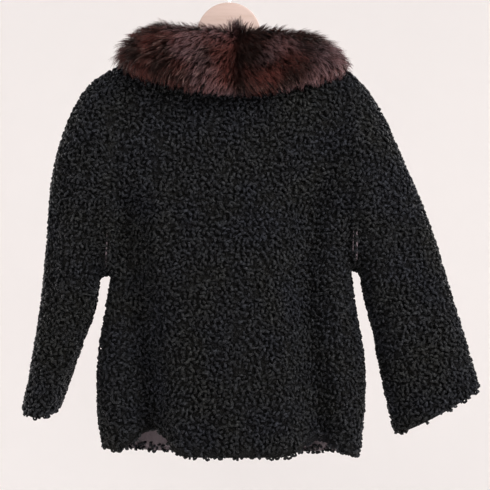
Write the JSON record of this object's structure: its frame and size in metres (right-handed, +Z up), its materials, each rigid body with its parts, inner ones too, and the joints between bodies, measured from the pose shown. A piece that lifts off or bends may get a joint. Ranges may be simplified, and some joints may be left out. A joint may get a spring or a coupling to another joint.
{
  "type": "jacket with a fur collar on a hanger",
  "caption": "Hip-length jacket of curled black pile cloth with wide three-quarter sleeves and a rolled fur collar, closed in front, hanging on a flat wooden hanger.",
  "frame": {"origin": "inside top of the hanger's hook, where it bears on a rod", "axes": "+Z up, -Y towards the front of the jacket, +X towards the wearer's left"},
  "size_m": [0.69, 0.2154, 0.7561],
  "materials": {
    "pile_cloth": "tightly curled black pile, soft sheen on the curls",
    "lining": "mauve-brown satin",
    "fur": "dark reddish-brown fur with glossy hair tips",
    "hanger_wood": "pale varnished wood",
    "hook_wire": "bright plated wire",
    "button": "polished black"
  },
  "bodies": {
    "root": {"back": "pile_cloth", "front_left": "pile_cloth", "front_right": "pile_cloth", "sleeve_left": "pile_cloth", "sleeve_right": "pile_cloth", "lining_left": "lining", "lining_right": "lining", "collar_left": "fur", "collar_right": "fur", "hanger_board": "hanger_wood", "hanger_hook": "hook_wire", "button_1": "button", "button_2": "button", "button_3": "button"}
  },
  "joints": []
}
